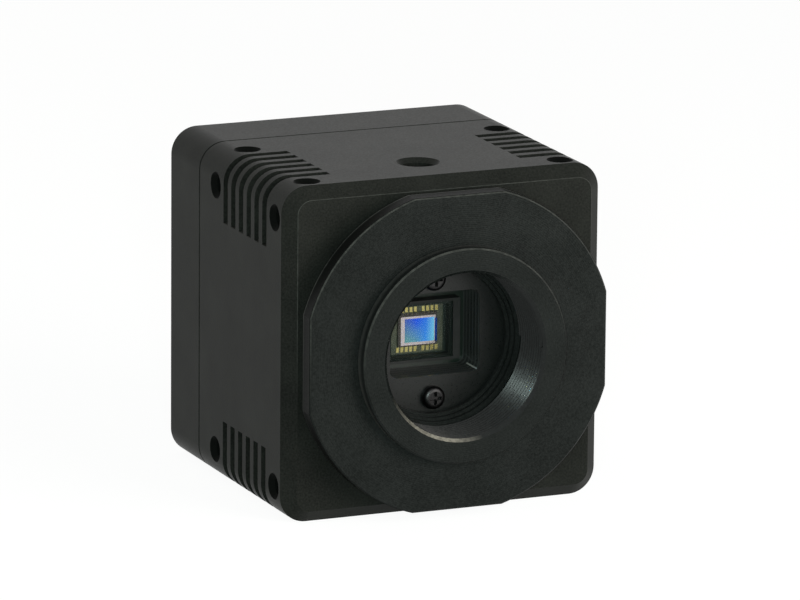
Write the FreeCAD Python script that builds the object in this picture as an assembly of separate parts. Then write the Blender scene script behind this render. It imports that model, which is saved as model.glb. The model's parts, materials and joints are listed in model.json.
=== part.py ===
import FreeCAD, Part
import math
import os

# Machine vision camera with a C-mount lens opening. Millimetres.
# Origin: centre of the lens seat (front face of the C-mount ring).
# The optical axis is the Y axis, the lens side faces -Y, the sockets face +Y, up is +Z.

# ---- Body -------------------------------------------------------------------
body_width = 50.0
body_height = 50.0
corner_radius = 4.0
wall = 5.0
front_wall = 3.2
housing_length = 33.6
front_chamfer = 1.9
seam_break = 0.2
cavity_corner_cut = 3.5

# ---- Rear cover -------------------------------------------------------------
cover_length = 11.9
cover_rear_wall = 3.0
cover_corner_cut = 4.2
cover_rear_chamfer = 0.5
lip_length = 1.0
lip_thickness = 1.2
lip_clearance = 0.1

# ---- Cooling slots sawn across the four long corners ------------------------
slot_count = 6
slot_pitch = 3.0
slot_width = 1.65
slot_from_front = 8.3
slot_reach = 10.0
saw_radius = 20.0

# ---- Side mounting holes (M3) and tripod hole (1/4-20) ----------------------
side_hole_inset = 5.0
side_hole_from_front = 4.4
side_hole_pitch = 22.8
side_hole_radius = 1.25
side_hole_mouth_radius = 2.0
side_hole_depth = 3.3
tripod_from_front = 10.4
tripod_radius = 2.56
tripod_mouth_radius = 3.25
tripod_depth = 4.5

# ---- Lens flange and C-mount ring -------------------------------------------
flange_focal_distance = 17.526
ring_radius = 16.0
ring_rise = 2.5
ring_edge_break = 0.25
thread_radius = 12.3
thread_mouth_radius = 12.75
ring_neck_radius = 14.5
rim_radius = 24.45
rim_flat_inset = 1.6
rim_thickness = 2.9
rim_edge_break = 0.25
flange_neck_radius = 22.4
flange_neck_length = 2.4
spigot_radius = 15.6
spigot_overrun = 0.3
throat_radius = 11.0
throat_step = 0.5
throat_step_count = 2
throat_step_length = 0.6
flange_screw_gap = 0.2
flange_tapping_overrun = 1.0
ring_end_gap = 0.1

# ---- Fits -------------------------------------------------------------------
location_clearance = 0.03
thread_clearance = 0.03
shank_clearance = 0.3
head_clearance = 0.15

# ---- Sensor and its mask ----------------------------------------------------
glass_focus_shift = 0.2
die_width = 6.2
die_height = 5.0
die_thickness = 0.35
package_width = 12.3
package_height = 9.2
package_front_rise = 1.4
package_thickness = 2.1
package_well_width = 9.2
package_well_height = 7.5
cover_glass_width = 10.0
cover_glass_height = 8.3
cover_glass_thickness = 0.5
pad_width = 0.42
pad_length = 0.75
pad_thickness = 0.05
pad_pitch = 0.7
pad_row_gap = 1.25
first_pad_count = 5
second_pad_count = 4
pad_from_die = 0.1
mask_width = 24.6
mask_height = 23.0
mask_corner_radius = 5.0
mask_throat_gap = 1.0
mask_window_width = 14.2
mask_window_height = 12.4
mask_window_corner_radius = 1.2
mask_window_shift = 0.4
mask_window_rise = 0.5
mask_screw_spacing = 17.8

# ---- Board stack ------------------------------------------------------------
board_thickness = 1.6
board_gap = 1.0
board_screw_inset = 4.2
interface_board_to_lip = 1.2
spacer_across_flats = 5.0
boss_radius = 2.9
stud_length = 4.2
spacer_thread_depth = 4.6
link_side_gap = 1.9
link_width = 4.4
link_edge_gap = 0.8
link_tongue_width = 2.0
link_tongue_height = 2.0
link_tongue_clearance = 0.1
processor_size = 17.0
processor_base_thickness = 0.9
processor_lid_inset = 1.2
processor_lid_thickness = 1.1
memory_length = 11.0
memory_width = 8.0
memory_thickness = 1.1
memory_offset = 7.0
oscillator_length = 5.0
oscillator_width = 3.2
oscillator_thickness = 1.3
oscillator_offset = 10.0
inductor_size = 6.0
inductor_thickness = 3.0
inductor_corner_cut = 1.0
inductor_offset = 8.5
inductor_centre_z = 6.0
transformer_length = 16.0
transformer_width = 11.0
transformer_thickness = 4.0
transformer_centre_z = -8.5
transformer_edge_break = 0.5

# ---- Network socket ---------------------------------------------------------
network_centre_z = -8.0
network_width = 16.0
network_height = 13.4
network_shell_thickness = 0.3
network_proud = 0.2
network_gap = 0.2
network_plug_width = 11.9
network_plug_height = 7.0
network_plug_rise = 1.2
network_latch_width = 6.4
network_latch_height = 1.5
network_key_width = 4.0
network_key_height = 1.3
network_plug_depth = 11.0
network_contact_count = 8
network_contact_pitch = 1.02
network_contact_width = 0.45
network_contact_thickness = 0.3
network_contact_drop = 2.0
network_contact_setback = 1.2
network_slot_clearance = 0.1
network_slot_height = 1.2
network_mouth_clearance = 0.1
network_lock_spacing = 20.0
network_lock_radius = 0.8

# ---- Power and trigger socket -----------------------------------------------
power_centre_x = -8.5
power_centre_z = 9.5
power_flange_radius = 6.5
power_flange_thickness = 1.2
power_barrel_radius = 5.0
power_bore_radius = 4.2
power_bore_depth = 8.0
power_base_thickness = 1.2
power_key_width = 1.6
power_key_depth = 0.45
power_pin_count = 6
power_pin_circle_radius = 2.3
power_pin_radius = 0.4
power_pin_recess = 2.5
power_pin_edge_break = 0.15
power_flange_edge_break = 0.25
power_nut_across_flats = 13.0
power_nut_thickness = 1.6

# ---- Status light -----------------------------------------------------------
status_x = 9.5
status_z = 12.0
light_pipe_radius = 1.2
light_pipe_proud = 0.5
light_pipe_rounding = 0.45
light_pipe_gap = 0.3
led_length = 1.6
led_width = 0.8
led_thickness = 0.7

# ---- Screws: thread core radius, head radius, head height, key size ---------
m2_thread_radius = 0.8
m2_head_radius = 1.9
m2_head_height = 2.0
m2_key = 1.5
m2_length = 6.0
m2_pan_radius = 1.75
m2_pan_height = 1.3
mask_screw_length = 9.0
m2_nut_across_flats = 4.0
m2_nut_thickness = 1.6
m25_thread_radius = 1.05
m25_head_radius = 2.25
m25_head_height = 2.5
m25_key = 2.0
cover_screw_inset = 5.0
cover_screw_engagement = 4.6
cover_screw_tip_gap = 0.6
cover_counterbore_depth = 4.5
m25_pan_radius = 2.2
m25_pan_height = 1.7
board_screw_engagement = 4.0
recess_width = 0.5
recess_depth = 0.7
recess_margin = 0.75
cap_edge_break = 0.25
socket_depth = 1.0
pan_rounding = 0.75

m2_cap = (m2_head_height, m2_head_radius, m2_thread_radius, m2_key)
m25_cap = (m25_head_height, m25_head_radius, m25_thread_radius, m25_key)
m2_pan = (m2_pan_height, m2_pan_radius, m2_thread_radius)
m25_pan = (m25_pan_height, m25_pan_radius, m25_thread_radius)

# ---- Stations along the optical axis ----------------------------------------
flange_front = ring_rise
flange_rear = flange_front + rim_thickness
housing_front = flange_rear + flange_neck_length
inner_front = housing_front + front_wall
seam = housing_front + housing_length
cover_screw_tip = seam - cover_screw_engagement
cover_inner = seam + cover_length - cover_rear_wall
rear_face = seam + cover_length
spigot_end = inner_front + spigot_overrun
throat_start = spigot_end - (throat_step_count + 1) * throat_step_length
ring_end = throat_start - ring_end_gap
mask_front = spigot_end + mask_throat_gap
die_front = flange_focal_distance + glass_focus_shift
package_front = die_front - package_front_rise
sensor_board_front = package_front + package_thickness
sensor_board_rear = sensor_board_front + board_thickness
interface_board_rear = seam - lip_length - interface_board_to_lip
interface_board_front = interface_board_rear - board_thickness
processor_board_front = (sensor_board_rear + interface_board_front - board_thickness) / 2
processor_board_rear = processor_board_front + board_thickness

# ---- Places off the optical axis --------------------------------------------
half_width = body_width / 2
half_height = body_height / 2
cavity_half_width = half_width - wall
cavity_half_height = half_height - wall
cover_cavity_half_width = cavity_half_width - lip_clearance - lip_thickness
cover_cavity_half_height = cavity_half_height - lip_clearance - lip_thickness
board_screw_x = cavity_half_width - board_gap - board_screw_inset
board_screw_z = cavity_half_height - board_gap - board_screw_inset
cover_screw_x = half_width - cover_screw_inset
cover_screw_z = half_height - cover_screw_inset
link_length = 2 * (board_screw_x - spacer_across_flats / math.sqrt(3) - link_side_gap)
link_z = cavity_half_height - board_gap - link_edge_gap - link_width / 2
flange_screw_circle_radius = spigot_radius + flange_screw_gap + m2_head_radius
signs = (-1, 1)
rearward = FreeCAD.Vector(0, 1, 0)


def point(x, y, z):
    return FreeCAD.Vector(x, y, z)


def block(x_mid, z_mid, width, height, y_start, y_end):
    """Box centred on (x_mid, z_mid) between two stations."""
    corner = point(x_mid - width / 2, y_start, z_mid - height / 2)
    return Part.makeBox(width, y_end - y_start, height, corner)


def rod(radius, y_start, y_end, x=0.0, z=0.0):
    """Round bar along the optical axis between two stations."""
    return Part.makeCylinder(radius, y_end - y_start, point(x, y_start, z), rearward)


def hexagon(across_flats, y_start, y_end, x, z):
    """Six-sided bar along the optical axis."""
    reach = across_flats / math.sqrt(3)
    angles = [math.radians(60 * side) for side in range(7)]
    corners = [point(x + reach * math.cos(a), y_start, z + reach * math.sin(a)) for a in angles]
    return Part.Face(Part.makePolygon(corners)).extrude(point(0, y_end - y_start, 0))


def turned(profile):
    """Solid of revolution about the optical axis from (station, radius) corners."""
    corners = [point(radius, station, 0) for station, radius in profile]
    outline = Part.makePolygon(corners + corners[:1])
    return Part.Face(outline).revolve(point(0, 0, 0), rearward, 360)


def octagon(half_x, half_z, corner_cut, inset, y_start, y_end):
    """Prism of a rectangle with cut corners, drawn in by the same inset all round."""
    x = half_x - inset
    z = half_z - inset
    cut = corner_cut - inset * (2 - math.sqrt(2))
    corners = [
        point(x - cut, y_start, z),
        point(x, y_start, z - cut),
        point(x, y_start, cut - z),
        point(x - cut, y_start, -z),
        point(cut - x, y_start, -z),
        point(-x, y_start, cut - z),
        point(-x, y_start, z - cut),
        point(cut - x, y_start, z),
    ]
    face = Part.Face(Part.makePolygon(corners + corners[:1]))
    return face.extrude(point(0, y_end - y_start, 0))


def lengthwise_edges(solid):
    """Straight edges that run along the optical axis."""
    return [e for e in solid.Edges if e.BoundBox.XLength < 1e-6 and e.BoundBox.ZLength < 1e-6]


def edges_at(solid, station):
    """Edges that lie in the plane across the axis at a station."""
    middle = [(e, (e.BoundBox.YMin + e.BoundBox.YMax) / 2) for e in solid.Edges]
    return [e for e, y in middle if abs(y - station) < 1e-4 and e.BoundBox.YLength < 1e-4]


def rounded_block(width, height, radius, y_start, y_end):
    """Centred box with rounded lengthwise corners."""
    box = block(0, 0, width, height, y_start, y_end)
    return box.makeFillet(radius, lengthwise_edges(box))


def mirrored_places(x, z):
    """Four places, one in each quarter about the optical axis."""
    return [(side * x, level * z) for side in signs for level in signs]


def save(name, shape):
    shape.exportStep(os.path.join("parts", name + ".step"))


# ---- Screws -----------------------------------------------------------------
def cap_screw(x, z, seat, tip, kind):
    """Socket head screw; the head seats at one station and the shank runs to the tip."""
    head_height, head_radius, core_radius, key = kind
    away = 1 if seat > tip else -1
    head_end = seat + away * head_height
    head = rod(head_radius, min(seat, head_end), max(seat, head_end), x, z)
    head = head.makeChamfer(cap_edge_break, edges_at(head, head_end))
    socket_floor = head_end - away * socket_depth
    socket = hexagon(key, min(socket_floor, head_end), max(socket_floor, head_end), x, z)
    shank = rod(core_radius - thread_clearance, min(seat, tip), max(seat, tip), x, z)
    return head.fuse(shank).cut(socket)


def pan_screw(x, z, seat, tip, kind):
    """Round-topped screw with a cross recess."""
    head_height, head_radius, core_radius = kind
    away = 1 if seat > tip else -1
    head_end = seat + away * head_height
    head = rod(head_radius, min(seat, head_end), max(seat, head_end), x, z)
    head = head.makeFillet(pan_rounding, edges_at(head, head_end))
    floor = head_end - away * recess_depth
    span = 2 * (head_radius - recess_margin)
    low, high = min(floor, head_end), max(floor, head_end)
    across = block(x, z, span, recess_width, low, high)
    upright = block(x, z, recess_width, span, low, high)
    shank = rod(core_radius - thread_clearance, min(seat, tip), max(seat, tip), x, z)
    return head.fuse(shank).cut([across, upright])


# ---- Housing ----------------------------------------------------------------
def cooling_slots():
    """Saw cuts across the four corners; the round saw leaves a hollow arc as each floor."""
    half_chord = slot_reach / math.sqrt(2)
    retreat = math.sqrt(saw_radius ** 2 - half_chord ** 2)
    chord_middle_x = half_width - slot_reach / 2
    chord_middle_z = half_height - slot_reach / 2
    shift = retreat / math.sqrt(2)
    cuts = []
    for number in range(slot_count):
        start = housing_front + slot_from_front + number * slot_pitch - slot_width / 2
        for side in signs:
            for level in signs:
                x = side * (chord_middle_x + shift)
                z = level * (chord_middle_z + shift)
                cuts.append(rod(saw_radius, start, start + slot_width, x, z))
    return cuts


def countersunk_hole(mouth, inward, radius, mouth_radius, depth):
    """Tapped hole with a 90 degree countersunk mouth, cut inward from a face."""
    hole = Part.makeCylinder(radius, depth, mouth, inward)
    sink = Part.makeCone(mouth_radius, radius, mouth_radius - radius, mouth, inward)
    return hole.fuse(sink)


def side_hole(mouth, inward):
    return countersunk_hole(mouth, inward, side_hole_radius, side_hole_mouth_radius, side_hole_depth)


def side_holes():
    """M3 holes near the corners of all four long faces."""
    holes = []
    stations = [housing_front + side_hole_from_front + row * side_hole_pitch for row in (0, 1)]
    for station in stations:
        for side in signs:
            for face in signs:
                across = side * (half_width - side_hole_inset)
                along = side * (half_height - side_hole_inset)
                up_mouth = point(across, station, face * half_height)
                side_mouth = point(face * half_width, station, along)
                holes.append(side_hole(up_mouth, point(0, 0, -face)))
                holes.append(side_hole(side_mouth, point(-face, 0, 0)))
    return holes


def tripod_hole():
    mouth = point(0, housing_front + tripod_from_front, half_height)
    return countersunk_hole(mouth, point(0, 0, -1), tripod_radius, tripod_mouth_radius, tripod_depth)


def flange_screw_places():
    """Four places on the flange screw circle, on the axes of the square body."""
    r = flange_screw_circle_radius
    return [(r, 0), (-r, 0), (0, r), (0, -r)]


def front_housing():
    shell = rounded_block(body_width, body_height, corner_radius, housing_front, seam)
    shell = shell.makeChamfer(front_chamfer, edges_at(shell, housing_front))
    shell = shell.makeChamfer(seam_break, edges_at(shell, seam))
    hollow = octagon(cavity_half_width, cavity_half_height, cavity_corner_cut, 0, inner_front, seam)
    shell = shell.cut(hollow)
    board_places = mirrored_places(board_screw_x, board_screw_z)
    bosses = [rod(boss_radius, inner_front, sensor_board_front, x, z) for x, z in board_places]
    shell = shell.fuse(bosses)
    opening = rod(spigot_radius + location_clearance, housing_front, inner_front)
    cuts = [opening, tripod_hole()] + cooling_slots() + side_holes()
    for x, z in flange_screw_places():
        cuts.append(rod(m2_thread_radius + shank_clearance, housing_front, inner_front, x, z))
        cuts.append(rod(m2_head_radius + head_clearance, inner_front, seam, x, z))
    for x, z in board_places:
        start = sensor_board_front - spacer_thread_depth
        cuts.append(rod(m25_thread_radius, start, sensor_board_front, x, z))
    for x, z in mirrored_places(cover_screw_x, cover_screw_z):
        cuts.append(rod(m25_thread_radius, cover_screw_tip - cover_screw_tip_gap, seam, x, z))
    return shell.cut(cuts)


def cover_cavity(y_start, y_end, inset=0.0):
    return octagon(
        cover_cavity_half_width, cover_cavity_half_height, cover_corner_cut, inset, y_start, y_end
    )


def rear_cover():
    cover = rounded_block(body_width, body_height, corner_radius, seam, rear_face)
    cover = cover.makeChamfer(cover_rear_chamfer, edges_at(cover, rear_face))
    cover = cover.makeChamfer(seam_break, edges_at(cover, seam))
    lip = octagon(
        cavity_half_width, cavity_half_height, cavity_corner_cut, lip_clearance, seam - lip_length, seam
    )
    cover = cover.fuse(lip).cut(cover_cavity(seam - lip_length, cover_inner))
    window_width = network_width + 2 * network_gap
    window_height = network_height + 2 * network_gap
    barrel_hole = power_barrel_radius + location_clearance
    light_hole = light_pipe_radius + location_clearance
    cuts = [
        block(0, network_centre_z, window_width, window_height, cover_inner, rear_face),
        rod(barrel_hole, cover_inner, rear_face, power_centre_x, power_centre_z),
        rod(light_hole, cover_inner, rear_face, status_x, status_z),
    ]
    for side in signs:
        x = side * network_lock_spacing / 2
        cuts.append(rod(network_lock_radius, cover_inner, rear_face, x, network_centre_z))
    counterbore_floor = rear_face - cover_counterbore_depth
    for x, z in mirrored_places(cover_screw_x, cover_screw_z):
        cuts.append(rod(m25_head_radius + head_clearance, counterbore_floor, rear_face, x, z))
        cuts.append(rod(m25_thread_radius + shank_clearance, seam, counterbore_floor, x, z))
    return cover.cut(cuts)


def cover_screws():
    seat = rear_face - cover_counterbore_depth
    return Part.makeCompound([
        cap_screw(x, z, seat, cover_screw_tip, m25_cap)
        for x, z in mirrored_places(cover_screw_x, cover_screw_z)
    ])


# ---- Lens mount -------------------------------------------------------------
def lens_flange():
    """Round rim with four flats, on a neck and a spigot that enters the front wall."""
    rim = rod(rim_radius, flange_front, flange_rear)
    flat_width = body_width - 2 * rim_flat_inset
    flat_height = body_height - 2 * rim_flat_inset
    rim = rim.common(block(0, 0, flat_width, flat_height, flange_front, flange_rear))
    rim = rim.makeChamfer(rim_edge_break, edges_at(rim, flange_front) + edges_at(rim, flange_rear))
    neck = rod(flange_neck_radius, flange_rear, housing_front)
    spigot = rod(spigot_radius, housing_front, spigot_end)
    bore = [rod(ring_neck_radius + location_clearance, flange_front, throat_start)]
    for step in range(throat_step_count + 1):
        start = throat_start + step * throat_step_length
        radius = throat_radius + (throat_step_count - step) * throat_step
        bore.append(rod(radius, start, start + throat_step_length))
    tapping_start = flange_rear - flange_tapping_overrun
    holes = [rod(m2_thread_radius, tapping_start, housing_front, x, z) for x, z in flange_screw_places()]
    return rim.fuse([neck, spigot]).cut(bore + holes)


def c_mount_ring():
    """Threaded ring that takes the lens; its front face is the lens seat."""
    mouth = thread_mouth_radius - thread_radius
    return turned([
        (0, thread_mouth_radius),
        (0, ring_radius - ring_edge_break),
        (ring_edge_break, ring_radius),
        (flange_front - ring_edge_break, ring_radius),
        (flange_front, ring_radius - ring_edge_break),
        (flange_front, ring_neck_radius),
        (ring_end, ring_neck_radius),
        (ring_end, thread_radius),
        (mouth, thread_radius),
    ])


def flange_screws():
    return Part.makeCompound([
        cap_screw(x, z, inner_front, inner_front - m2_length, m2_cap)
        for x, z in flange_screw_places()
    ])


# ---- Sensor -----------------------------------------------------------------
def mask_screw_places():
    return [(0, side * mask_screw_spacing / 2) for side in signs]


def sensor_mask():
    """Deep plate round the sensor; its window is cut a little off the optical axis."""
    plate = rounded_block(mask_width, mask_height, mask_corner_radius, mask_front, sensor_board_front)
    window = rounded_block(
        mask_window_width, mask_window_height, mask_window_corner_radius, mask_front, sensor_board_front
    )
    window.translate(point(mask_window_shift, 0, mask_window_rise))
    hole_radius = m2_thread_radius + shank_clearance
    holes = [rod(hole_radius, mask_front, sensor_board_front, x, z) for x, z in mask_screw_places()]
    return plate.cut([window] + holes)


def mask_screws():
    return Part.makeCompound([
        pan_screw(x, z, mask_front, mask_front + mask_screw_length, m2_pan)
        for x, z in mask_screw_places()
    ])


def die_back():
    return die_front + die_thickness


def sensor_package():
    """Ceramic tray: a well for the die and a ledge for the cover glass."""
    tray = block(0, 0, package_width, package_height, package_front, sensor_board_front)
    glass_seat = package_front + cover_glass_thickness
    ledge_width = cover_glass_width + 2 * location_clearance
    ledge_height = cover_glass_height + 2 * location_clearance
    ledge = block(0, 0, ledge_width, ledge_height, package_front, glass_seat)
    well = block(0, 0, package_well_width, package_well_height, glass_seat, die_back())
    return tray.cut([ledge, well])


def sensor_die():
    return block(0, 0, die_width, die_height, die_front, die_back())


def sensor_cover_glass():
    end = package_front + cover_glass_thickness
    return block(0, 0, cover_glass_width, cover_glass_height, package_front, end)


def sensor_bond_pads():
    """Two rows of gold fingers on the floor of the package, each in two groups."""
    count = first_pad_count + second_pad_count
    length = (count - 2) * pad_pitch + pad_row_gap
    z_mid = die_height / 2 + pad_from_die + pad_length / 2
    pads = []
    for side in signs:
        for number in range(count):
            extra = pad_row_gap - pad_pitch if number >= first_pad_count else 0
            x = number * pad_pitch + extra - length / 2
            pads.append(
                block(x, side * z_mid, pad_width, pad_length, die_back() - pad_thickness, die_back())
            )
    return Part.makeCompound(pads)


# ---- Boards -----------------------------------------------------------------
def board_holes(y_start, y_end):
    radius = m25_thread_radius + shank_clearance
    places = mirrored_places(board_screw_x, board_screw_z)
    return [rod(radius, y_start, y_end, x, z) for x, z in places]


def bare_board(y_start, y_end):
    """Circuit board with cut corners that clears the walls of the housing."""
    board = octagon(
        cavity_half_width, cavity_half_height, cavity_corner_cut, board_gap, y_start, y_end
    )
    return board.cut(board_holes(y_start, y_end))


def sensor_board():
    board = bare_board(sensor_board_front, sensor_board_rear)
    for x, z in mask_screw_places():
        board = board.cut(rod(m2_thread_radius, sensor_board_front, sensor_board_rear, x, z))
    return board


def mask_nuts():
    """Two nuts behind the sensor board that hold the mask screws."""
    nuts = []
    for x, z in mask_screw_places():
        end = sensor_board_rear + m2_nut_thickness
        nut = hexagon(m2_nut_across_flats, sensor_board_rear, end, x, z)
        nuts.append(nut.cut(rod(m2_thread_radius, sensor_board_rear, end, x, z)))
    return Part.makeCompound(nuts)


def processor_board():
    return bare_board(processor_board_front, processor_board_rear)


def power_pin_places():
    angles = [2 * math.pi * (n + 0.5) / power_pin_count for n in range(power_pin_count)]
    r = power_pin_circle_radius
    return [(power_centre_x + r * math.sin(a), power_centre_z + r * math.cos(a)) for a in angles]


def interface_board():
    board = bare_board(interface_board_front, interface_board_rear)
    holes = [
        rod(power_pin_radius + location_clearance, interface_board_front, interface_board_rear, x, z)
        for x, z in power_pin_places()
    ]
    return board.cut(holes)


def board_spacers(y_start, y_end):
    """Hexagonal spacers with a stud towards the lens and a tapped rear end."""
    spacers = []
    for x, z in mirrored_places(board_screw_x, board_screw_z):
        stud_start = y_start - board_thickness - stud_length
        body = hexagon(spacer_across_flats, y_start, y_end, x, z)
        stud = rod(m25_thread_radius - thread_clearance, stud_start, y_start, x, z)
        tapping = rod(m25_thread_radius, y_end - spacer_thread_depth, y_end, x, z)
        spacers.append(body.fuse(stud).cut(tapping))
    return Part.makeCompound(spacers)


def board_screws():
    seat = interface_board_rear
    tip = seat - board_thickness - board_screw_engagement
    return Part.makeCompound([
        pan_screw(x, z, seat, tip, m25_pan)
        for x, z in mirrored_places(board_screw_x, board_screw_z)
    ])


def link_plug(front, rear):
    """Board-to-board plug: a base with a tongue, half as high as the gap between boards."""
    middle = (front + rear) / 2
    base = block(0, link_z, link_length, link_width, front, middle)
    tongue_length = link_length - link_width
    tongue = block(0, link_z, tongue_length, link_tongue_width, middle, middle + link_tongue_height)
    return base.fuse(tongue)


def link_socket(front, rear):
    """Board-to-board socket with the groove that the tongue enters."""
    middle = (front + rear) / 2
    base = block(0, link_z, link_length, link_width, middle, rear)
    spare = 2 * link_tongue_clearance
    groove_length = link_length - link_width + spare
    groove_end = middle + link_tongue_height + link_tongue_clearance
    groove = block(0, link_z, groove_length, link_tongue_width + spare, middle, groove_end)
    return base.cut(groove)


def image_processor():
    lid_start = processor_board_rear + processor_base_thickness
    lid_size = processor_size - 2 * processor_lid_inset
    base = block(0, 0, processor_size, processor_size, processor_board_rear, lid_start)
    lid = block(0, 0, lid_size, lid_size, lid_start, lid_start + processor_lid_thickness)
    return base.fuse(lid)


def memory_chips():
    start = processor_board_front - memory_thickness
    return Part.makeCompound([
        block(side * memory_offset, 0, memory_width, memory_length, start, processor_board_front)
        for side in signs
    ])


def clock_oscillator():
    start = processor_board_front - oscillator_thickness
    return block(
        0, -oscillator_offset, oscillator_length, oscillator_width, start, processor_board_front
    )


def power_inductors():
    """Two moulded chokes on the front of the interface board."""
    start = interface_board_front - inductor_thickness
    chokes = []
    for side in signs:
        x = side * inductor_offset
        choke = block(x, inductor_centre_z, inductor_size, inductor_size, start, interface_board_front)
        chokes.append(choke.makeChamfer(inductor_corner_cut, lengthwise_edges(choke)))
    return Part.makeCompound(chokes)


def network_transformer():
    """Isolating transformer of the network port, a moulded block with broken edges."""
    start = interface_board_front - transformer_thickness
    case = block(
        0, transformer_centre_z, transformer_length, transformer_width, start, interface_board_front
    )
    return case.makeChamfer(transformer_edge_break, edges_at(case, start))


# ---- Network socket ---------------------------------------------------------
def network_mouth(y_start, y_end, spare=0.0):
    """Stepped opening for the plug, its latch and the latch key."""
    z = network_centre_z + network_plug_rise
    plug = block(
        0, z, network_plug_width + spare, network_plug_height + spare, y_start, y_end
    )
    latch_z = z - network_plug_height / 2 - network_latch_height / 2
    latch = block(0, latch_z, network_latch_width + spare, network_latch_height + spare, y_start, y_end)
    key_z = latch_z - network_latch_height / 2 - network_key_height / 2
    key = block(0, key_z, network_key_width + spare, network_key_height + spare, y_start, y_end)
    return plug.fuse([latch, key])


def network_socket_shell():
    """Folded metal shell, open towards the board, with the plug opening in its rear face."""
    end = rear_face + network_proud
    inner_end = end - network_shell_thickness
    outer = block(0, network_centre_z, network_width, network_height, interface_board_rear, end)
    inner = block(
        0,
        network_centre_z,
        network_width - 2 * network_shell_thickness,
        network_height - 2 * network_shell_thickness,
        interface_board_rear,
        inner_end,
    )
    return outer.cut([inner, network_mouth(inner_end, end, network_mouth_clearance)])


def network_contact_places():
    half = (network_contact_count - 1) / 2
    return [(n - half) * network_contact_pitch for n in range(network_contact_count)]


def network_roof():
    return network_centre_z + network_plug_rise + network_plug_height / 2


def network_insert_end():
    return rear_face + network_proud - network_shell_thickness


def network_socket_insert():
    """Moulded body that fills the shell and holds the contacts in slots."""
    end = network_insert_end()
    spare = 2 * (network_shell_thickness + location_clearance)
    body = block(
        0, network_centre_z, network_width - spare, network_height - spare, interface_board_rear, end
    )
    floor = end - network_plug_depth
    slot_width_here = network_contact_width + 2 * network_slot_clearance
    slot_end = end - network_contact_setback + network_slot_clearance
    slots = [
        block(x, network_roof(), slot_width_here, network_slot_height, floor, slot_end)
        for x in network_contact_places()
    ]
    return body.cut([network_mouth(floor, end)] + slots)


def network_socket_contacts():
    """Sprung wires that slope down from the roof of the plug cavity."""
    mouth_end = network_insert_end() - network_contact_setback
    floor = network_insert_end() - network_plug_depth
    top = network_roof() + network_contact_thickness
    contacts = []
    for x in network_contact_places():
        start = x - network_contact_width / 2
        corners = [
            point(start, mouth_end, top),
            point(start, mouth_end, top - network_contact_thickness),
            point(start, floor, top - network_contact_thickness - network_contact_drop),
            point(start, floor, top - network_contact_drop),
        ]
        bar = Part.Face(Part.makePolygon(corners + corners[:1]))
        contacts.append(bar.extrude(point(network_contact_width, 0, 0)))
    return Part.makeCompound(contacts)


# ---- Power and trigger socket -----------------------------------------------
def power_rod(radius, y_start, y_end):
    return rod(radius, y_start, y_end, power_centre_x, power_centre_z)


def power_mouth():
    return rear_face + power_flange_thickness


def power_floor():
    return power_mouth() - power_bore_depth


def power_socket_shell():
    """Turned shell: a flange on the rear face and a barrel through the wall, with a key slot."""
    barrel_end = power_floor() - power_base_thickness
    flange = power_rod(power_flange_radius, rear_face, power_mouth())
    flange = flange.makeChamfer(power_flange_edge_break, edges_at(flange, power_mouth()))
    barrel = power_rod(power_barrel_radius, barrel_end, rear_face)
    bore = power_rod(power_bore_radius, barrel_end, power_mouth())
    key = block(
        power_centre_x,
        power_centre_z + power_bore_radius,
        power_key_width,
        2 * power_key_depth,
        power_floor(),
        power_mouth(),
    )
    return flange.fuse(barrel).cut([bore, key])


def power_socket_insert():
    """Round insulator at the bottom of the shell, drilled for the pins."""
    disc = power_rod(
        power_bore_radius - location_clearance, power_floor() - power_base_thickness, power_floor()
    )
    holes = [
        rod(power_pin_radius, power_floor() - power_base_thickness, power_floor(), x, z)
        for x, z in power_pin_places()
    ]
    return disc.cut(holes)


def power_socket_pins():
    """Pins with their tails soldered into the interface board."""
    end = power_mouth() - power_pin_recess
    pins = []
    for x, z in power_pin_places():
        pin = rod(power_pin_radius, interface_board_front, end, x, z)
        pins.append(pin.makeChamfer(power_pin_edge_break, edges_at(pin, end)))
    return Part.makeCompound(pins)


def power_socket_nut():
    start = cover_inner - power_nut_thickness
    nut = hexagon(power_nut_across_flats, start, cover_inner, power_centre_x, power_centre_z)
    return nut.cut(power_rod(power_barrel_radius + thread_clearance, start, cover_inner))


# ---- Status light -----------------------------------------------------------
def led_front():
    return interface_board_rear + led_thickness


def status_light_pipe():
    """Clear rod from the lamp to the rear face, with a domed end."""
    start = led_front() + light_pipe_gap
    end = rear_face + light_pipe_proud
    pipe = rod(light_pipe_radius, start, end, status_x, status_z)
    return pipe.makeFillet(light_pipe_rounding, edges_at(pipe, end))


def status_led():
    return block(status_x, status_z, led_length, led_width, interface_board_rear, led_front())


pieces = {
    "front_housing": front_housing,
    "rear_cover": rear_cover,
    "cover_screws": cover_screws,
    "lens_flange": lens_flange,
    "c_mount_ring": c_mount_ring,
    "flange_screws": flange_screws,
    "sensor_mask": sensor_mask,
    "mask_screws": mask_screws,
    "mask_nuts": mask_nuts,
    "sensor_package": sensor_package,
    "sensor_die": sensor_die,
    "sensor_cover_glass": sensor_cover_glass,
    "sensor_bond_pads": sensor_bond_pads,
    "sensor_board": sensor_board,
    "processor_board": processor_board,
    "interface_board": interface_board,
    "board_screws": board_screws,
    "image_processor": image_processor,
    "memory_chips": memory_chips,
    "clock_oscillator": clock_oscillator,
    "power_inductors": power_inductors,
    "network_transformer": network_transformer,
    "network_socket_shell": network_socket_shell,
    "network_socket_insert": network_socket_insert,
    "network_socket_contacts": network_socket_contacts,
    "power_socket_shell": power_socket_shell,
    "power_socket_insert": power_socket_insert,
    "power_socket_pins": power_socket_pins,
    "power_socket_nut": power_socket_nut,
    "status_light_pipe": status_light_pipe,
    "status_led": status_led,
}

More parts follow.
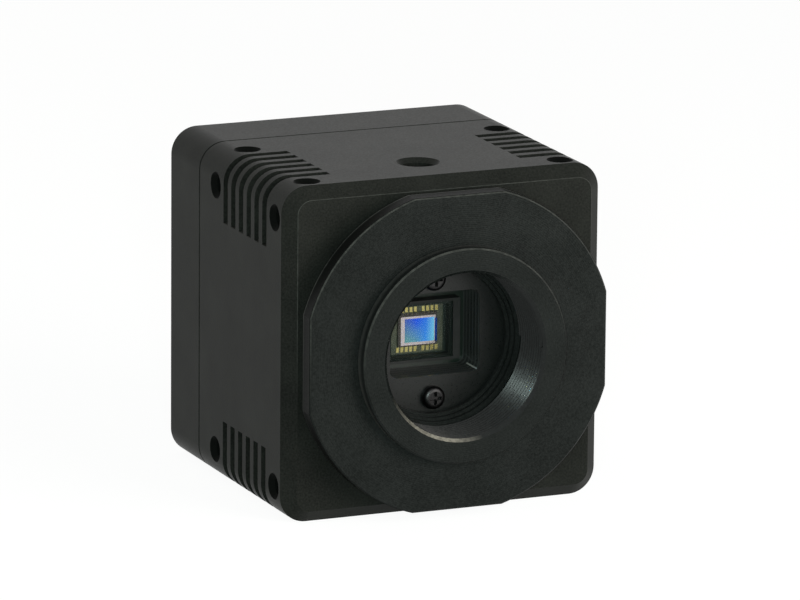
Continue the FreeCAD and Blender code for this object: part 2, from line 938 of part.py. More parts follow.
os.makedirs("parts", exist_ok=True)
for piece_name, make_piece in pieces.items():
    save(piece_name, make_piece())
front_gap = (sensor_board_rear, processor_board_front)
rear_gap = (processor_board_rear, interface_board_front)
for place, (gap_start, gap_end) in (("front", front_gap), ("rear", rear_gap)):
    save(place + "_board_spacers", board_spacers(gap_start, gap_end))
    save(place + "_link_plug", link_plug(gap_start, gap_end))
    save(place + "_link_socket", link_socket(gap_start, gap_end))
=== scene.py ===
import json
import math

import bpy
from mathutils import Matrix, Vector


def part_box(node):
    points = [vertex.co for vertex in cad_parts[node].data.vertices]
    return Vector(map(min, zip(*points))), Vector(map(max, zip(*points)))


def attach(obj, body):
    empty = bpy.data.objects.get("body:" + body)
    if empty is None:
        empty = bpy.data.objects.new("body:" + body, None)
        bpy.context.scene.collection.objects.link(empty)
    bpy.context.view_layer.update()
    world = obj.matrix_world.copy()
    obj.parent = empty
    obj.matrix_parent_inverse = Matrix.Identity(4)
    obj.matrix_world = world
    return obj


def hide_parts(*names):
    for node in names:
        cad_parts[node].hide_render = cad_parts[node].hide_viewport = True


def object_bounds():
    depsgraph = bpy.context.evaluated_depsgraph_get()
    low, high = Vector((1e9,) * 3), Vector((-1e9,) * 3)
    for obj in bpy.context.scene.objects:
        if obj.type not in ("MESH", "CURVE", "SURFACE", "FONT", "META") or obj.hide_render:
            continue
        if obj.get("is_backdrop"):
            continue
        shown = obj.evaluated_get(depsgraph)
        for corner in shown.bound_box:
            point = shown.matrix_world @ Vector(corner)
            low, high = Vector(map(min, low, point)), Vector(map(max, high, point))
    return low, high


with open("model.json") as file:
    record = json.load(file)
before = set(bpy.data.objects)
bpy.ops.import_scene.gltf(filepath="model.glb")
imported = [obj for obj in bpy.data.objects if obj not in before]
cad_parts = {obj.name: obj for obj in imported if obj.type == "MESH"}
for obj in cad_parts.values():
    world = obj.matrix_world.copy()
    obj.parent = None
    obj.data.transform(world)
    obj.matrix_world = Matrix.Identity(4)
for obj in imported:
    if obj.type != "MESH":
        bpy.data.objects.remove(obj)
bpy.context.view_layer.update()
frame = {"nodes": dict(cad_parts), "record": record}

# Dimensions are in millimetres and are taken to metres by MM. The optical axis is Y, and a station is a
# distance along it behind the lens seat.
MM = 0.001
nodes = frame["nodes"]
scene = bpy.context.scene
scene.view_settings.view_transform = "Standard"


# ---- Camera -----------------------------------------------------------------
def place_camera(centre, azimuth, elevation, roll, distance, lens, aim):
    """Long-lens camera that looks at the centre; aim shifts it sideways and up, in millimetres."""
    az, el, turn = (math.radians(angle) for angle in (azimuth, elevation, roll))
    forward = Vector((math.sin(az) * math.cos(el), math.cos(az) * math.cos(el), -math.sin(el)))
    level = Vector((math.cos(az), -math.sin(az), 0))
    upright = level.cross(forward)
    right = math.cos(turn) * level + math.sin(turn) * upright
    up = math.cos(turn) * upright - math.sin(turn) * level
    place = (centre - distance * forward + aim[0] * right + aim[1] * up) * MM
    data = bpy.data.cameras.new("product_camera")
    data.lens = lens
    data.sensor_width = 36
    data.clip_start = 0.05
    data.clip_end = 20
    camera = bpy.data.objects.new("product_camera", data)
    scene.collection.objects.link(camera)
    turned = Matrix((right, up, -forward)).transposed().to_4x4()
    camera.matrix_world = Matrix.Translation(place) @ turned
    scene.camera = camera


place_camera(centre=Vector((0, 30.58, 0)), azimuth=23.28, elevation=13.62, roll=0.50,
             distance=1121, lens=340.92, aim=(2.46, 1.45))


# ---- Node helpers -----------------------------------------------------------
def linear(code):
    """sRGB hex colour as linear RGBA."""
    parts = [int(code[i:i + 2], 16) / 255 for i in (1, 3, 5)]
    return [c / 12.92 if c <= 0.04045 else ((c + 0.055) / 1.055) ** 2.4 for c in parts] + [1]


def add(tree, kind, stops=(), **given):
    """Adds a node. A lower-case keyword is one of the node's settings, and any other is a socket, by its
    name or by its number after an underscore. A socket takes a number, a colour or vector, a node for
    its first output, or (node, output). Stops are a colour ramp's (position, hex colour)."""
    node = tree.nodes.new("ShaderNode" + kind)
    for key, value in given.items():
        if key[0].islower():
            setattr(node, key, value)
            continue
        socket = node.inputs[int(key[1:]) if key[0] == "_" else key.replace("_", " ")]
        if isinstance(value, bpy.types.Node):
            value = (value, 0)
        if isinstance(value, tuple) and isinstance(value[0], bpy.types.Node):
            tree.links.new(value[0].outputs[value[1]], socket)
        else:
            socket.default_value = value
    if stops:
        elements = node.color_ramp.elements
        while len(elements) < len(stops):
            elements.new(0.5)
        for element, (position, code) in zip(elements, stops):
            element.position = position
            element.color = linear(code)
    return node


def new_material(name):
    """Empty material, with its node tree and the object's own coordinates."""
    material = bpy.data.materials.new(name)
    material.use_nodes = True
    tree = material.node_tree
    tree.nodes.clear()
    return material, tree, (add(tree, "TexCoord"), "Object")


def grain(tree, place, size, detail=3.0, stretch=(1, 1, 1)):
    """Blotches about `size` millimetres wide, squeezed by the stretch along each axis."""
    scaled = add(tree, "Mapping", Vector=place, Scale=stretch)
    return add(tree, "TexNoise", Vector=scaled, Scale=1 / (size * MM), Detail=detail)


def uneven(tree, blotches, low, high):
    """A finish that varies from low to high with the blotches, whose values are mostly 0.3 to 0.7."""
    return add(tree, "MapRange", Value=blotches, From_Min=0.3, From_Max=0.7, To_Min=low, To_Max=high)


def overlap(tree, *masks):
    """1 where every mask is 1."""
    share = masks[0]
    for mask in masks[1:]:
        share = add(tree, "Math", operation="MULTIPLY", _0=share, _1=mask)
    return share


def tool_line_scale(pitch):
    """Scale of a wave texture whose lines are `pitch` millimetres apart."""
    return math.tau / 20 / (pitch * MM)


# ---- Materials --------------------------------------------------------------
ring_radius = 16.0
ring_edge_break = 0.25
rim_front = 2.5
rim_back = 5.4
# Width of the painted highlight line at the rim's back edge.
rim_line = 0.52


def painted_edge_highlight(tree, parts, spans, patches):
    """Painted highlight: 1 on the broken edges, which lie between the stations of each span. It is
    strongest on the upper edges, where the light catches them, and is broken up in patches."""
    edges = 0.0
    for start, end in spans:
        edge = add(tree, "Math", operation="COMPARE", _0=(parts, "Y"), _1=(start + end) / 2 * MM,
                   _2=(end - start) / 2 * MM)
        edges = add(tree, "Math", operation="ADD", _0=edge, _1=edges)
    flat = add(tree, "CombineXYZ", X=(parts, "X"), Z=(parts, "Z"))
    outward = add(tree, "VectorMath", operation="NORMALIZE", _0=flat)
    most_lit = math.radians(100)
    toward = add(tree, "VectorMath", operation="DOT_PRODUCT", _0=outward,
                 _1=(math.cos(most_lit), 0, math.sin(most_lit)))
    lit_share = add(tree, "MapRange", Value=(toward, "Value"), From_Min=-0.1, From_Max=0.6)
    return overlap(tree, edges, lit_share, uneven(tree, patches, 0.35, 1.0))


def painted_rim_wall_shade(tree, place, parts):
    """Painted shade: 1 on the outer wall of the rim, up to the painted highlight line before its back
    edge.
    """
    neck_reach = 18
    wall_start = rim_front + 0.19
    wall_end = rim_back - rim_line
    beside = add(tree, "Math", operation="COMPARE", _0=(parts, "Y"), _1=(wall_start + wall_end) / 2 * MM,
                 _2=(wall_end - wall_start) / 2 * MM)
    reach = add(tree, "VectorMath", operation="LENGTH", _0=place)
    outside = add(tree, "Math", operation="GREATER_THAN", _0=(reach, "Value"), _1=neck_reach * MM)
    return overlap(tree, beside, outside)


def painted_ring_foot_light(tree, parts, patches):
    """Painted light: 1 low on the ring's outer wall, in the corner where it meets the rim, fading toward
    its front.
    """
    painted_light_start = 1.0
    painted_light_full = 1.7
    depth = add(tree, "MapRange", Value=(parts, "Y"), From_Min=painted_light_start * MM, From_Max=painted_light_full * MM)
    flat = add(tree, "CombineXYZ", X=(parts, "X"), Z=(parts, "Z"))
    radius = add(tree, "VectorMath", operation="LENGTH", _0=flat)
    wall = add(tree, "Math", operation="COMPARE", _0=(radius, "Value"), _1=ring_radius * MM, _2=0.1 * MM)
    ahead = add(tree, "Math", operation="LESS_THAN", _0=(parts, "Y"), _1=(rim_front - 0.01) * MM)
    return overlap(tree, depth, wall, ahead, uneven(tree, patches, 0.6, 1.0))


def tapped_hole_shade(tree, parts):
    """Painted shade: 1 in the M3 holes of the long faces, which it makes nearly black."""
    rows_middle = 23.6
    row_offset = 11.4
    hole_offset = 20
    shade_radius = 1.97
    shade_bottom = 20.5
    from_middle = add(tree, "Math", operation="SUBTRACT", _0=(parts, "Y"), _1=rows_middle * MM)
    from_middle = add(tree, "Math", operation="ABSOLUTE", _0=from_middle)
    along = add(tree, "Math", operation="SUBTRACT", _0=from_middle, _1=row_offset * MM)
    shades = []
    for across, outward in (("X", "Z"), ("Z", "X")):
        from_axis = add(tree, "Math", operation="ABSOLUTE", _0=(parts, across))
        aside = add(tree, "Math", operation="SUBTRACT", _0=from_axis, _1=hole_offset * MM)
        apart = add(tree, "CombineXYZ", X=along, Y=aside)
        radius = add(tree, "VectorMath", operation="LENGTH", _0=apart)
        near = add(tree, "Math", operation="LESS_THAN", _0=(radius, "Value"), _1=shade_radius * MM)
        reach = add(tree, "Math", operation="ABSOLUTE", _0=(parts, outward))
        deep = add(tree, "Math", operation="GREATER_THAN", _0=reach, _1=shade_bottom * MM)
        shades.append(overlap(tree, near, deep))
    return add(tree, "Math", operation="MAXIMUM", _0=shades[0], _1=shades[1])


def anodised_aluminium(name, dark, light, specular, highlight_spans, tool_pitch=0.0, tapped=False):
    """Black anodised aluminium: a matt satin black. Blasting leaves a fine grit and the dye takes a
    little unevenly. The broken edges carry a painted highlight, and a turned face keeps the rings of the
    tool."""
    # The real grit is near 0.1 mm, and is drawn coarser so that it shows.
    grit = 0.3
    material, tree, place = new_material(name)
    parts = add(tree, "SeparateXYZ", Vector=place)
    drift = grain(tree, place, 7.0, 2.0)
    fine = grain(tree, place, grit, 4.0)
    patches = grain(tree, place, 0.9, 2.0)
    mottle = add(tree, "Math", operation="MULTIPLY", _0=fine, _1=0.65)
    mottle = add(tree, "Math", operation="MULTIPLY_ADD", _0=drift, _1=0.35, _2=mottle)
    tone = add(tree, "ValToRGB", stops=[(0.35, dark), (0.65, light)], Fac=mottle)
    # Painted highlight on the broken edges, strongest on the upper ones.
    marks = [(painted_edge_highlight(tree, parts, highlight_spans, patches), "#4a4b48")]
    height = fine
    if tool_pitch:
        # Painted shade darkens the rim's outer wall, and painted light lifts the foot of the ring's
        # wall.
        marks.append((painted_rim_wall_shade(tree, place, parts), "#131413"))
        marks.append((painted_ring_foot_light(tree, parts, patches), "#474745"))
        rings = add(tree, "TexWave", wave_type="RINGS", rings_direction="Y", Vector=place,
                    Scale=tool_line_scale(tool_pitch), Distortion=0.6, Detail=1.0)
        height = add(tree, "Math", operation="ADD", _0=(rings, 1), _1=fine)
    level = specular
    if tapped:
        # Painted shade in the M3 holes: nearly black, with a quarter of the specular level.
        shade = tapped_hole_shade(tree, parts)
        marks.append((shade, "#111211"))
        level = add(tree, "MapRange", Value=shade, To_Min=specular, To_Max=specular / 4)
    for share, code in marks:
        tone = (add(tree, "Mix", data_type="RGBA", Factor=share, _6=tone, _7=linear(code)), 2)
    relief = add(tree, "Bump", Strength=0.2, Distance=grit * 0.2 * MM, Height=height)
    shader = add(tree, "BsdfPrincipled", Base_Color=tone, Specular_IOR_Level=level,
                 Roughness=uneven(tree, fine, 0.3, 0.42), Normal=relief)
    add(tree, "OutputMaterial", Surface=shader)
    return material


def milled_aluminium():
    """Mask plate, black anodised. The cutter took its deep window in passes and left a line after each.
    The walls are painted lighter than the face, as painted light in the deep window, and the lower right
    corner carries a painted glint."""
    pass_depth = 1.1
    # The painted glint runs in along the corner's diagonal, where x - z is largest and x + z hardly
    # changes.
    corner_reach = 12.2
    glint_middle = 1.8
    glint_half_width = 0.16
    glint_depth = 3.8
    material, tree, place = new_material("milled_black_anodised")
    parts = add(tree, "SeparateXYZ", Vector=place)
    fine = grain(tree, place, 0.2, 4.0)
    face = add(tree, "ValToRGB", stops=[(0.35, "#171918"), (0.65, "#1b1d1c")], Fac=fine)
    passes = add(tree, "TexWave", wave_type="BANDS", bands_direction="Y", Vector=place,
                 Scale=tool_line_scale(pass_depth), Distortion=0.2, Detail=1.0)
    # Painted light: the window's walls are lighter than its face, to lift the shade in the deep window.
    # A line follows each pass of the cutter.
    wall = add(tree, "ValToRGB", stops=[(0.2, "#272928"), (0.75, "#3a3c3b"), (0.95, "#4e504e")],
               Fac=(passes, 1))
    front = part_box("sensor_mask")[0].y
    within = add(tree, "Math", operation="GREATER_THAN", _0=(parts, "Y"), _1=front + 0.05 * MM)
    tone = (add(tree, "Mix", data_type="RGBA", Factor=within, _6=face, _7=wall), 2)
    outward = add(tree, "Math", operation="SUBTRACT", _0=(parts, "X"), _1=(parts, "Z"))
    corner = add(tree, "Math", operation="GREATER_THAN", _0=outward, _1=corner_reach * MM)
    across = add(tree, "Math", operation="ADD", _0=(parts, "X"), _1=(parts, "Z"))
    narrow = add(tree, "Math", operation="COMPARE", _0=across, _1=glint_middle * MM,
                 _2=glint_half_width * MM)
    shallow = add(tree, "Math", operation="LESS_THAN", _0=(parts, "Y"), _1=front + glint_depth * MM)
    # Painted glint down the window's lower right corner.
    streak = overlap(tree, corner, narrow, within, shallow)
    tone = (add(tree, "Mix", data_type="RGBA", Factor=streak, _6=tone, _7=linear("#aeaca5")), 2)
    relief = add(tree, "Bump", Strength=0.15, Distance=0.04 * MM, Height=fine)
    shader = add(tree, "BsdfPrincipled", Base_Color=tone, Specular_IOR_Level=0.3,
                 Roughness=uneven(tree, fine, 0.26, 0.38), Normal=relief)
    add(tree, "OutputMaterial", Surface=shader)
    return material


def threaded_aluminium():
    """Thread cut in the ring and anodised after it: the tool left the flanks smooth, so they shine
    where the turned face does not. Lenses have rubbed the dye off the lower left of the mouth."""
    rub_middle = math.radians(-117)
    rub_end = math.radians(40)
    rub_full = math.radians(14)
    lip_depth = 0.5
    material, tree, place = new_material("cut_thread_black_anodised")
    parts = add(tree, "SeparateXYZ", Vector=place)
    streak = grain(tree, place, 0.5, 3.0)
    tone = add(tree, "ValToRGB", stops=[(0.35, "#131615"), (0.65, "#1a1d1c")], Fac=streak)
    relief = add(tree, "Bump", Strength=0.12, Distance=0.03 * MM, Height=streak)
    dyed = add(tree, "BsdfPrincipled", Base_Color=tone, Specular_IOR_Level=0.2,
               Roughness=uneven(tree, streak, 0.18, 0.28), Normal=relief)
    bare = add(tree, "BsdfPrincipled", Base_Color=linear("#a5a294"), Metallic=1.0, Roughness=0.42)
    turn = add(tree, "Math", operation="ARCTAN2", _0=(parts, "Z"), _1=(parts, "X"))
    away = add(tree, "Math", operation="SUBTRACT", _0=turn, _1=rub_middle)
    away = add(tree, "Math", operation="ABSOLUTE", _0=away)
    along = add(tree, "MapRange", Value=away, From_Min=rub_end, From_Max=rub_full)
    lip = add(tree, "Math", operation="LESS_THAN", _0=(parts, "Y"), _1=lip_depth * MM)
    share = overlap(tree, along, lip, uneven(tree, streak, 0.45, 1.0))
    shader = add(tree, "MixShader", _0=share, _1=dyed, _2=bare)
    add(tree, "OutputMaterial", Surface=shader)
    return material


def plated_metal(name, colour, worn, roughness):
    """Plated or bare metal: bright, with faint tarnish and fine scratches."""
    material, tree, place = new_material(name)
    tone = add(tree, "ValToRGB", stops=[(0.3, colour), (0.75, worn)], Fac=grain(tree, place, 3.0))
    scratch = grain(tree, place, 0.25, 4.0, (1, 6, 1))
    relief = add(tree, "Bump", Strength=0.12, Distance=0.03 * MM, Height=scratch)
    rough = uneven(tree, scratch, roughness - 0.07, roughness + 0.09)
    shader = add(tree, "BsdfPrincipled", Base_Color=tone, Metallic=1.0, Roughness=rough, Normal=relief)
    add(tree, "OutputMaterial", Surface=shader)
    return material


def moulded_plastic(name, colour, other, roughness, specular=0.5):
    """Moulded resin: a close even texture and a soft sheen."""
    material, tree, place = new_material(name)
    cloud = grain(tree, place, 3.0, 2.0)
    tone = add(tree, "ValToRGB", stops=[(0.35, colour), (0.65, other)], Fac=cloud)
    texture = grain(tree, place, 0.4)
    relief = add(tree, "Bump", Strength=0.15, Distance=0.04 * MM, Height=texture)
    rough = uneven(tree, texture, roughness - 0.05, roughness + 0.08)
    shader = add(tree, "BsdfPrincipled", Base_Color=tone, Roughness=rough, IOR=1.5,
                 Specular_IOR_Level=specular, Normal=relief)
    add(tree, "OutputMaterial", Surface=shader)
    return material


def circuit_laminate():
    """Glass-fibre board under green solder mask: the copper traces show through as lighter lines."""
    material, tree, place = new_material("solder_mask_laminate")
    traces = add(tree, "TexBrick", offset=0.5, squash=1.0, Vector=place, Color1=linear("#07150e"),
                 Color2=linear("#06120c"), Mortar=linear("#0b1c13"), Scale=1 / MM, Mortar_Size=0.12,
                 Brick_Width=1.9, Row_Height=0.8)
    weave = grain(tree, place, 0.5, 2.0)
    relief = add(tree, "Bump", Strength=0.2, Distance=0.04 * MM, Height=weave)
    shader = add(tree, "BsdfPrincipled", Base_Color=traces, Roughness=0.32, Normal=relief)
    add(tree, "OutputMaterial", Surface=shader)
    return material


def pixel_silicon(low, high):
    """Silicon under its colour filters: a thin-film blue that drifts to cyan and teal over the array."""
    material, tree, place = new_material("pixel_array_silicon")
    parts = add(tree, "SeparateXYZ", Vector=place)
    across = add(tree, "MapRange", Value=(parts, "X"), From_Min=low[0] * MM, From_Max=high[0] * MM)
    upward = add(tree, "MapRange", Value=(parts, "Z"), From_Min=low[1] * MM, From_Max=high[1] * MM)
    top_stops = [(0.05, "#5462c8"), (0.4, "#2c5cff"), (0.72, "#3f80ff"), (1.0, "#86c8ff")]
    bottom_stops = [(0.05, "#7ca6ac"), (0.4, "#70a2c4"), (0.7, "#4c9aff"), (1.0, "#90d8ff")]
    top = add(tree, "ValToRGB", stops=top_stops, Fac=across)
    bottom = add(tree, "ValToRGB", stops=bottom_stops, Fac=across)
    cloud = grain(tree, place, 1.5, 2.0)
    drift = add(tree, "Math", operation="MULTIPLY_ADD", _0=cloud, _1=0.3, _2=-0.15)
    level = add(tree, "Math", operation="ADD", _0=upward, _1=drift)
    tone = (add(tree, "Mix", data_type="RGBA", Factor=level, _6=bottom, _7=top), 2)
    shader = add(tree, "BsdfPrincipled", Base_Color=tone, Metallic=0.95, Roughness=0.1)
    add(tree, "OutputMaterial", Surface=shader)
    return material


def die_layer_metal(name, stops, metallic, roughness, line=0.3, detail=3.0, stretch=(1, 1, 1)):
    """Thin deposited layer of the sensor, whose tone changes along its fine lines."""
    material, tree, place = new_material(name)
    tone = add(tree, "ValToRGB", stops=stops, Fac=grain(tree, place, line, detail, stretch))
    shader = add(tree, "BsdfPrincipled", Base_Color=tone, Metallic=metallic, Roughness=roughness)
    add(tree, "OutputMaterial", Surface=shader)
    return material


def window_glass():
    """Thin clear cover glass: it only adds its own gloss to what lies behind."""
    material, tree, place = new_material("sensor_window_glass")
    smear = grain(tree, place, 2.5, 2.0)
    edge = add(tree, "Fresnel", IOR=1.45)
    clear = add(tree, "BsdfTransparent", Color=linear("#f4fbf8"))
    gloss = add(tree, "BsdfGlossy", Roughness=uneven(tree, smear, 0.02, 0.05), Color=linear("#dfe9e6"))
    dimmed = add(tree, "Math", operation="MULTIPLY", _0=edge, _1=0.12)
    shader = add(tree, "MixShader", _0=dimmed, _1=clear, _2=gloss)
    add(tree, "OutputMaterial", Surface=shader)
    return material


def light_pipe_plastic():
    """Clear polycarbonate rod, a little milky from moulding."""
    material, tree, place = new_material("light_pipe_polycarbonate")
    haze = grain(tree, place, 0.8, 2.0)
    tone = add(tree, "ValToRGB", stops=[(0.3, "#e4e8e2"), (0.7, "#f2f4f0")], Fac=haze)
    shader = add(tree, "BsdfPrincipled", Base_Color=tone, Roughness=0.12, IOR=1.58,
                 Transmission_Weight=0.6)
    add(tree, "OutputMaterial", Surface=shader)
    return material


chamfer_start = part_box("front_housing")[0].y / MM
# The span on the front chamfer carries a painted highlight, and the tapped holes carry painted shade.
housing_black = anodised_aluminium(
    "bead_blasted_black_anodised", "#1b1c1a", "#2b2c29", specular=0.031,
    highlight_spans=[(chamfer_start + 0.01, chamfer_start + 0.1)], tapped=True)
# The tool's feed is nearer 0.1 mm, and its rings are drawn wider so that they show.
# The spans on the ring's front edge and on the rim's front and back edges carry a painted highlight.
turned_black = anodised_aluminium(
    "turned_black_anodised", "#1a1c1b", "#282a29", specular=0.03,
    highlight_spans=[(0.01, ring_edge_break - 0.01), (rim_front + 0.01, rim_front + 0.19),
                (rim_back - rim_line, rim_back - 0.01)],
    tool_pitch=0.3)
thread_black = threaded_aluminium()
# Wiring round the image array, a pale pinkish lavender.
border_metal = die_layer_metal(
    "border_wiring_aluminium", [(0.3, "#cfa9b8"), (0.5, "#e6c4c6"), (0.7, "#bcb0e4")],
    metallic=0.85, roughness=0.2, stretch=(1, 1, 4))
# Light-shielded columns beside the array, a deep blue.
shielded_silicon = die_layer_metal(
    "shielded_column_silicon", [(0.35, "#0c2c80"), (0.65, "#1844a6")],
    metallic=0.9, roughness=0.16, detail=2.0, stretch=(6, 1, 1))
# Layer on the floor of the package, a dull brownish gold.
die_attach_metal = die_layer_metal(
    "sintered_die_attach_metal", [(0.3, "#454138"), (0.7, "#5a5144")],
    metallic=0.3, roughness=0.5, line=0.8)
# Bare die between the pads and the wiring: dark, with a brown cast.
die_silicon = die_layer_metal(
    "passivated_silicon", [(0.3, "#3a2e30"), (0.7, "#4d3d3c")],
    metallic=0.5, roughness=0.4, stretch=(1, 1, 4))
slot_materials = {
    "housing_black": housing_black,
    "cover_black": housing_black,
    "flange_black": turned_black,
    "ring_black": turned_black,
    "mask_black": milled_aluminium(),
    "black_steel": plated_metal("black_oxide_steel", "#2c2c2d", "#3e3e3e", 0.36),
    "bright_steel": plated_metal("nickel_plated_steel", "#b9b6ae", "#a19e97", 0.3),
    "package_ceramic": moulded_plastic("sintered_dark_ceramic", "#1f201f", "#272827", 0.6, 0.25),
    "sensor_silicon": die_silicon,
    "window_glass": window_glass(),
    "gold": plated_metal("gold_plate", "#d2b67c", "#bb9a5e", 0.3),
    "board_green": circuit_laminate(),
    "chip_black": moulded_plastic("moulded_epoxy_chip", "#1b1b1c", "#242425", 0.55),
    "processor_lid": plated_metal("nickel_plated_copper_lid", "#a9a7a2", "#908e8a", 0.38),
    "ferrite": moulded_plastic("sintered_ferrite", "#2d2d2f", "#39393a", 0.7),
    "spacer_brass": plated_metal("nickel_plated_brass", "#c0bbaa", "#aca694", 0.32),
    "link_plastic": moulded_plastic("moulded_connector_nylon", "#d9d2bd", "#cbc3ab", 0.5),
    "socket_nickel": plated_metal("nickel_plated_sheet", "#c3c1bb", "#adaba5", 0.28),
    "insert_black": moulded_plastic("moulded_black_nylon", "#1a1a1b", "#232324", 0.5),
    "light_clear": light_pipe_plastic(),
    "lamp_white": moulded_plastic("moulded_lamp_silicone", "#e9e7df", "#dcdacf", 0.4),
}
for part in frame["record"]["subparts"]:
    for place in nodes[part["node"]].material_slots:
        place.material = slot_materials[part["material_slot"]]


# ---- Modelling helpers ------------------------------------------------------
def clear_selection():
    if bpy.context.object and bpy.context.object.mode == "EDIT":
        bpy.ops.object.mode_set(mode="OBJECT")
    bpy.ops.object.select_all(action="DESELECT")


def named_piece(name, material):
    """Puts the place of the active piece in its mesh and gives it its name, finish and body."""
    piece = bpy.context.object
    piece.name = name
    piece.data.name = name
    bpy.ops.object.transform_apply(location=True, rotation=True, scale=True)
    piece.data.materials.clear()
    piece.data.materials.append(material)
    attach(piece, "root")
    return piece


def extrude_by(x, y, z):
    bpy.ops.mesh.extrude_region_move(TRANSFORM_OT_translate={"value": (x * MM, y * MM, z * MM)})


def turned_outline(points):
    """Starts a mesh as the closed outline of a turned part, from its (station, radius) points."""
    clear_selection()
    bpy.ops.mesh.primitive_plane_add(size=MM)
    bpy.ops.object.mode_set(mode="EDIT")
    bpy.ops.mesh.merge(type="CENTER")
    station, radius = points[0]
    bpy.ops.transform.translate(value=(radius * MM, station * MM, 0))
    for (y0, r0), (y1, r1) in zip(points, points[1:]):
        extrude_by(r1 - r0, y1 - y0, 0)
    bpy.ops.mesh.select_all(action="SELECT")
    bpy.ops.mesh.edge_face_add()


def spun(steps):
    """Spins the open outline once round the optical axis into a closed shell."""
    bpy.ops.mesh.delete(type="ONLY_FACE")
    bpy.ops.mesh.select_all(action="SELECT")
    bpy.ops.mesh.spin(steps=steps, angle=math.tau, center=(0, 0, 0), axis=(0, 1, 0))
    bpy.ops.mesh.select_all(action="SELECT")
    bpy.ops.mesh.remove_doubles(threshold=0.002 * MM)
    bpy.ops.mesh.normals_make_consistent(inside=False)
    bpy.ops.object.mode_set(mode="OBJECT")
    bpy.ops.object.shade_smooth_by_angle(angle=math.radians(20))


def plate(x, y, z, width, depth, height, bevel):
    """Flat plate with broken edges, its middle at (x, y, z)."""
    clear_selection()
    bpy.ops.mesh.primitive_cube_add(size=1, location=(x * MM, y * MM, z * MM),
                                    scale=(width * MM, depth * MM, height * MM))
    bpy.ops.object.transform_apply(location=True, rotation=True, scale=True)
    bpy.ops.object.mode_set(mode="EDIT")
    bpy.ops.mesh.select_all(action="SELECT")
    bpy.ops.mesh.bevel(offset=bevel * MM, segments=2, affect="EDGES")
    bpy.ops.object.mode_set(mode="OBJECT")


# ---- Lens ring with its 1 inch 32 thread ------------------------------------
thread_pitch = 25.4 / 32
thread_crest = 12.3
thread_root = 12.72
thread_start = 1.05
thread_turns = 10
neck_radius = 14.5
mouth_radius = 12.75
lead_in_end = 0.45
first_groove = 0.65
ring_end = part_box("c_mount_ring")[1].y / MM
ring_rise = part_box("lens_flange")[0].y / MM

ring_outline = [
    (0.0, mouth_radius),
    (0.0, ring_radius - ring_edge_break),
    (ring_edge_break, ring_radius),
    (ring_rise - ring_edge_break, ring_radius),
    (ring_rise, ring_radius - ring_edge_break),
    (ring_rise, neck_radius),
    (ring_end, neck_radius),
    (ring_end, thread_root),
    (first_groove, thread_root),
    (lead_in_end, thread_crest),
]
turned_outline(ring_outline + ring_outline[:1])
spun(128)
lens_ring = named_piece("lens_ring", turned_black)
lens_ring.data.materials.append(thread_black)
for face in lens_ring.data.polygons:
    if Vector((face.center.x, 0, face.center.z)).length < (thread_root + 0.02) * MM:
        face.material_index = 1
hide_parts("c_mount_ring")


def helical_ridge():
    """Sharp ridge of the internal thread, swept once per pitch round the optical axis. Its foot is sunk
    a little into the ring."""
    half_foot = thread_pitch * 0.42
    half_tip = thread_pitch * 0.06
    foot_radius = thread_root + 0.04
    turned_outline([
        (thread_start - half_foot, foot_radius), (thread_start - half_tip, thread_crest),
        (thread_start + half_tip, thread_crest), (thread_start + half_foot, foot_radius),
    ])
    bpy.ops.object.mode_set(mode="OBJECT")
    ridge = bpy.context.object
    screw = ridge.modifiers.new("thread", "SCREW")
    screw.axis = "Y"
    screw.angle = math.tau
    screw.screw_offset = thread_pitch * MM
    screw.iterations = thread_turns
    screw.steps = 96
    screw.render_steps = 96
    screw.use_merge_vertices = True
    screw.merge_threshold = 0.001 * MM
    bpy.ops.object.modifier_apply(modifier="thread")
    bpy.ops.object.mode_set(mode="EDIT")
    bpy.ops.mesh.select_all(action="SELECT")
    bpy.ops.mesh.remove_doubles(threshold=0.001 * MM)
    bpy.ops.mesh.normals_make_consistent(inside=False)
    bpy.ops.object.mode_set(mode="OBJECT")
    bpy.ops.object.shade_smooth_by_angle(angle=math.radians(20))


helical_ridge()
named_piece("lens_thread", thread_black)


# ---- Sensor details ---------------------------------------------------------
die_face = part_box("sensor_die")[0].y / MM
attach_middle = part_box("sensor_die")[1].y / MM - 0.008
layer_step = 0.012
array_low = (-2.08, -1.9)
array_high = (2.62, 1.66)


def on_die(name, low, high, rise, material):
    """Thin layer that stands a few micrometres above the face of the die, between two corners."""
    plate((low[0] + high[0]) / 2, die_face - rise, (low[1] + high[1]) / 2,
          high[0] - low[0], 0.02, high[1] - low[1], 0.004)
    named_piece(name, material)


plate(0, attach_middle, 0, 8.2, 0.012, 7.2, 0.002)
named_piece("die_attach_layer", die_attach_metal)
on_die("border_wiring", (-2.68, -2.32), (2.82, 1.98), 0.0, border_metal)
on_die("pixel_array", array_low, array_high, layer_step, pixel_silicon(array_low, array_high))
on_die("shielded_columns", (2.72, -2.0), (3.08, 1.5), layer_step, shielded_silicon)


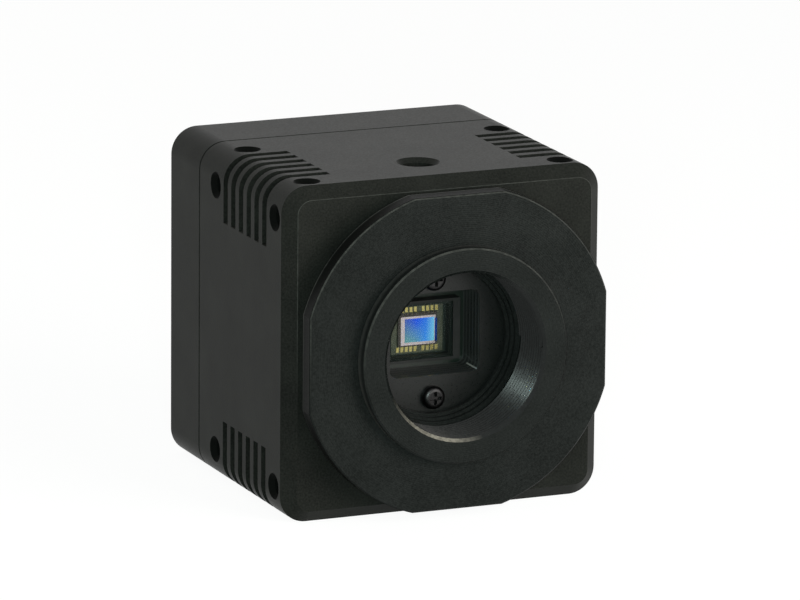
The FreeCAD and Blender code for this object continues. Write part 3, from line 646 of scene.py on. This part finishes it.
def bond_wires():
    """One gold wire, looped from its pad on to the die, repeated along the row and mirrored below."""
    low, high = (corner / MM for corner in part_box("sensor_bond_pads"))
    wire_radius = 0.02
    pad_pitch = 0.7
    row_break = 1.25
    pads_in_row = 9
    pads_before_break = 5
    pad_middle = high.z - 0.375
    landing = 2.34
    first = low.x + 0.21
    clear_selection()
    bpy.ops.mesh.primitive_circle_add(vertices=6, radius=wire_radius * MM, fill_type="NGON",
                                      rotation=(math.pi / 2, 0, 0),
                                      location=(first * MM, low.y * MM, pad_middle * MM))
    bpy.ops.object.transform_apply(location=True, rotation=True, scale=True)
    bpy.ops.object.mode_set(mode="EDIT")
    bpy.ops.mesh.select_all(action="SELECT")
    extrude_by(0, die_face - low.y, 0)
    bpy.ops.mesh.spin(steps=8, angle=math.pi, axis=(-1, 0, 0),
                      center=(first * MM, die_face * MM, (pad_middle + landing) / 2 * MM))
    bpy.ops.mesh.select_all(action="SELECT")
    for number in range(1, pads_in_row):
        step = row_break if number == pads_before_break else pad_pitch
        bpy.ops.mesh.duplicate_move(TRANSFORM_OT_translate={"value": (step * MM, 0, 0)})
    bpy.ops.mesh.select_all(action="SELECT")
    bpy.ops.mesh.duplicate()
    bpy.ops.transform.resize(value=(1, 1, -1), center_override=(0, 0, 0))
    bpy.ops.mesh.select_all(action="SELECT")
    bpy.ops.mesh.normals_make_consistent(inside=False)
    bpy.ops.object.mode_set(mode="OBJECT")
    bpy.ops.object.shade_smooth_by_angle(angle=math.radians(60))
    named_piece("bond_wires", slot_materials["gold"])


bond_wires()


# ---- Floor, world and lamps -------------------------------------------------
def seen_white(tree, lit, white, seen_share, gloss_share):
    """Shows plain white to the camera and to reflections, and the lit shader to other rays."""
    path = add(tree, "LightPath")
    direct = add(tree, "Math", operation="MAXIMUM", _0=(path, "Is Camera Ray"),
                 _1=(path, "Is Transmission Ray"))
    seen = add(tree, "Math", operation="MULTIPLY", _0=direct, _1=seen_share)
    mirrored = add(tree, "Math", operation="MULTIPLY", _0=(path, "Is Glossy Ray"), _1=gloss_share)
    share = add(tree, "Math", operation="MAXIMUM", _0=seen, _1=mirrored)
    return add(tree, "MixShader", _0=share, _1=lit, _2=white)


def light_the_room():
    world = bpy.data.worlds.new("studio")
    scene.world = world
    world.use_nodes = True
    tree = world.node_tree
    tree.nodes.clear()
    lit = add(tree, "Background", Color=linear("#f2f4f3"), Strength=0.24)
    white = add(tree, "Background", Color=(1, 1, 1, 1), Strength=1.0)
    add(tree, "OutputWorld", Surface=seen_white(tree, lit, white, seen_share=1.0, gloss_share=1.0))


def pale_floor(level):
    clear_selection()
    bpy.ops.mesh.primitive_plane_add(size=6, location=(0, 0, level))
    floor = bpy.context.object
    floor.name = "studio_floor"
    material, tree, _ = new_material("matt_white_paper")
    paper = add(tree, "BsdfDiffuse", Color=linear("#ececea"), Roughness=0.5)
    white = add(tree, "Emission", Color=(1, 1, 1, 1), Strength=1.08)
    shader = seen_white(tree, paper, white, seen_share=0.85, gloss_share=0.7)
    add(tree, "OutputMaterial", Surface=shader)
    floor.data.materials.append(material)
    floor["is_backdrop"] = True


def softbox(name, direction, distance, size, energy, colour):
    """Square soft lamp that faces the object's middle."""
    data = bpy.data.lights.new(name, "AREA")
    data.shape = "SQUARE"
    data.size = size
    data.energy = energy
    data.color = linear(colour)[:3]
    lamp = bpy.data.objects.new(name, data)
    scene.collection.objects.link(lamp)
    toward = Vector(direction).normalized()
    lamp.location = Vector((0, 0.03, 0)) + toward * distance
    lamp.rotation_euler = toward.to_track_quat("Z", "Y").to_euler()


light_the_room()
floor_gap = 0.02
pale_floor(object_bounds()[0][2] - floor_gap * MM)
softbox("window_softbox", (0.47, -0.83, 0.27), distance=0.36, size=0.25, energy=0.85, colour="#fffaf4")
softbox("front_softbox", (-0.39, -0.87, 0.22), distance=1.3, size=0.22, energy=7.6, colour="#e2faf4")
softbox("overhead_softbox", (-0.35, 0.45, 0.82), distance=0.6, size=0.4, energy=0.6, colour="#fff8ee")
